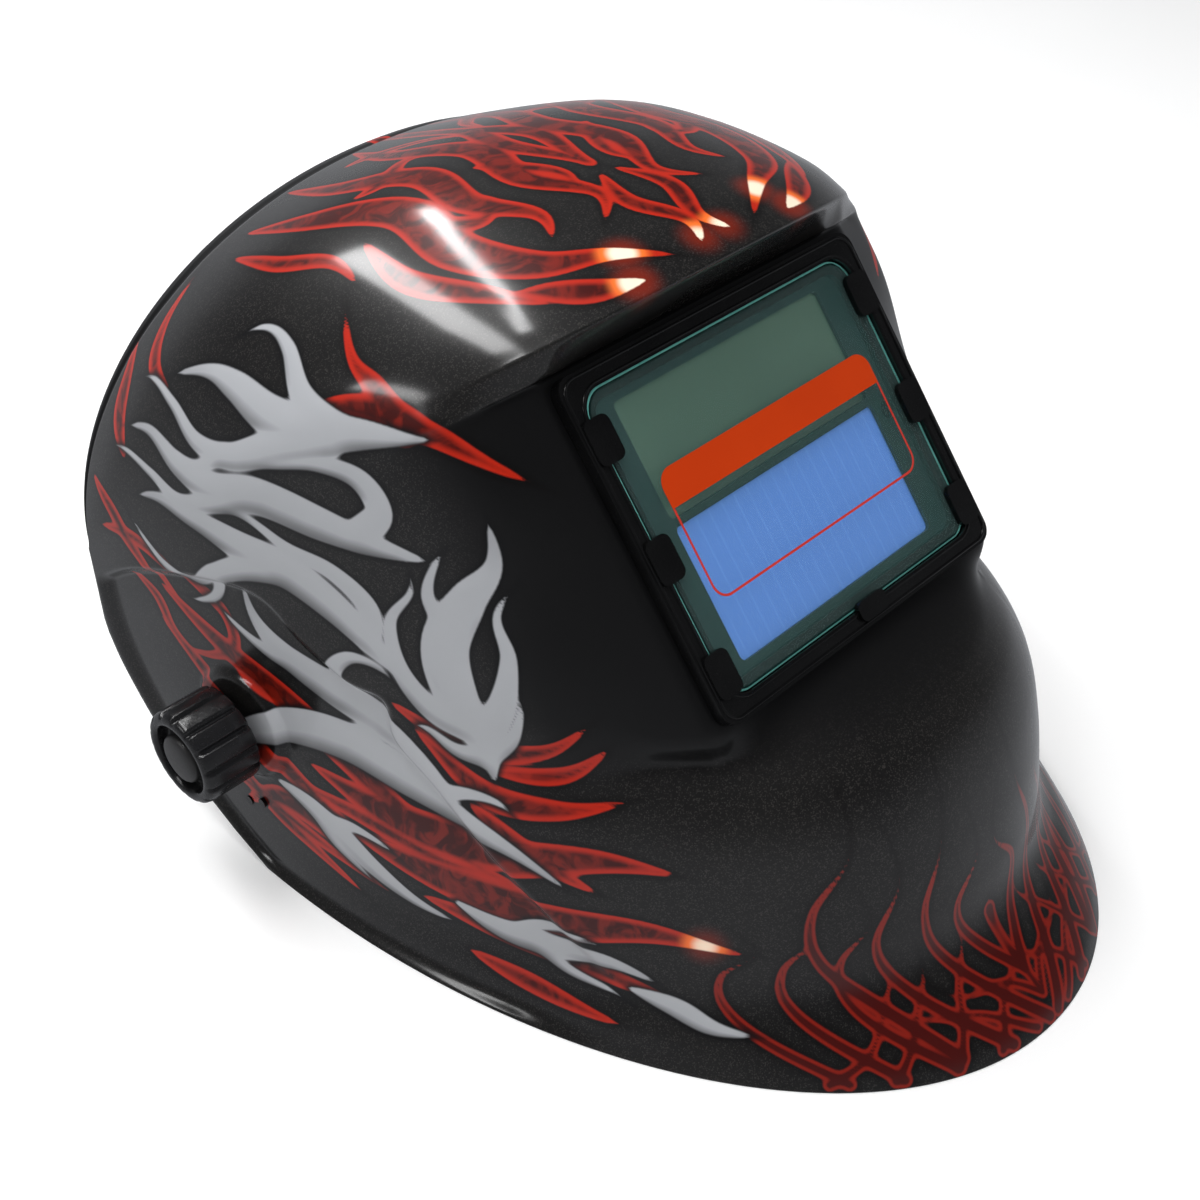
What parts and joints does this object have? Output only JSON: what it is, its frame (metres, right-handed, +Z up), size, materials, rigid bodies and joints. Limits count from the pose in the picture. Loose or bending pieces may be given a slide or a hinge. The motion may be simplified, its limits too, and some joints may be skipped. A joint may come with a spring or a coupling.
{
  "type": "welding helmet",
  "caption": "Auto-darkening welding helmet: moulded full-face shell with a sloped window and filter cartridge, on adjustable tilting headgear with a rear ratchet.",
  "frame": {"origin": "centre of the bounding box's bottom face, on the plane that the shell's lower rim stands on", "axes": "+X to the wearer's left, +Y from the window towards the back of the head (the front of the helmet faces -Y), +Z up"},
  "size_m": [0.2876, 0.348, 0.208],
  "materials": {
    "shell_plastic": "moulded nylon shell with a metallic-flake charcoal base, flame artwork and a clear coat",
    "black_plastic": "satin black moulded nylon",
    "clear_lens": "clear polycarbonate with a slight teal tint",
    "film": "thin clear protective film with a plain orange band and a red outline",
    "filter_case": "matt dark green-black moulded case",
    "lcd_glass": "dark green auto-darkening glass stack",
    "solar_cell": "dark violet-brown solar cell under clear resin",
    "board": "green circuit board",
    "steel": "plated steel",
    "sensor": "black arc sensor window",
    "control_plastic": "black moulded control",
    "band_plastic": "flexible black polypropylene strap",
    "sweat_fabric": "padded charcoal knit over foam",
    "washer_rubber": "fibre-reinforced rubber friction washer",
    "knob_plastic": "gloss black moulded knob",
    "cap_plastic": "grey moulded cap"
  },
  "bodies": {
    "shell": {"shell": "shell_plastic", "window_frame": "black_plastic", "cover_lens": "clear_lens", "protective_film": "film", "filter_front": "filter_case", "filter_rear": "filter_case", "lcd_filter": "lcd_glass", "solar_panel": "solar_cell", "circuit_board": "board", "battery_cells": "steel", "arc_sensors": "sensor", "inner_lens": "clear_lens", "filter_holder": "black_plastic", "retaining_wires": "steel", "stop_plate_left": "black_plastic", "stop_plate_right": "black_plastic"},
    "headgear": {"front_band": "band_plastic", "sweatband": "sweat_fabric", "top_strap_left": "band_plastic", "top_strap_right": "band_plastic", "strap_stud": "band_plastic", "band_rivets": "steel", "pivot_arm_left": "black_plastic", "pivot_bolt_left": "black_plastic", "friction_washer_left": "washer_rubber", "pivot_arm_right": "black_plastic", "pivot_bolt_right": "black_plastic", "friction_washer_right": "washer_rubber"},
    "rear_cradle": {"rear_band_left": "band_plastic", "rear_band_right": "band_plastic", "ratchet_housing": "band_plastic", "ratchet_cover": "band_plastic", "rear_pad": "sweat_fabric"},
    "ratchet_knob": {"ratchet_knob": "control_plastic", "ratchet_pinion": "control_plastic"},
    "tension_knob_left": {"tension_knob_left": "knob_plastic", "knob_cap_left": "cap_plastic"},
    "tension_knob_right": {"tension_knob_right": "knob_plastic", "knob_cap_right": "cap_plastic"},
    "shade_control": {"shade_control": "control_plastic"},
    "sensitivity_control": {"sensitivity_control": "control_plastic"},
    "delay_switch": {"delay_switch": "control_plastic"}
  },
  "joints": [
    {"name": "headgear_tilt", "type": "hinge", "parent": "shell", "child": "headgear", "pos_m": [0, 0.049, 0.055], "axis": [1, 0, 0], "range_deg": [-25, 65]},
    {"name": "size_adjust", "type": "slide", "parent": "headgear", "child": "rear_cradle", "axis": [0, -1, 0], "range_m": [0, 0.02]},
    {"name": "ratchet_turn", "type": "hinge", "parent": "rear_cradle", "child": "ratchet_knob", "pos_m": [0, 0.165, 0.055], "axis": [0, 1, 0], "range_deg": [0, 240]},
    {"name": "tension_left", "type": "hinge", "parent": "headgear", "child": "tension_knob_left", "pos_m": [0.134, 0.049, 0.055], "axis": [1, 0, 0], "range_deg": [-540, 0]},
    {"name": "tension_right", "type": "hinge", "parent": "headgear", "child": "tension_knob_right", "pos_m": [-0.134, 0.049, 0.055], "axis": [-1, 0, 0], "range_deg": [-540, 0]},
    {"name": "shade_turn", "type": "hinge", "parent": "shell", "child": "shade_control", "pos_m": [-0.03, -0.0676, 0.10915], "axis": [0, 0.7763, -0.6304], "range_deg": [0, 270]},
    {"name": "sensitivity_turn", "type": "hinge", "parent": "shell", "child": "sensitivity_control", "pos_m": [0.03, -0.0676, 0.10915], "axis": [0, 0.7763, -0.6304], "range_deg": [0, 270]},
    {"name": "delay_slide", "type": "slide", "parent": "shell", "child": "delay_switch", "axis": [1, 0, 0], "range_m": [0, 0.006]}
  ],
  "couplings": [
    {"joint": "ratchet_turn", "follows": "size_adjust", "rad_per_m": 209.44}
  ]
}
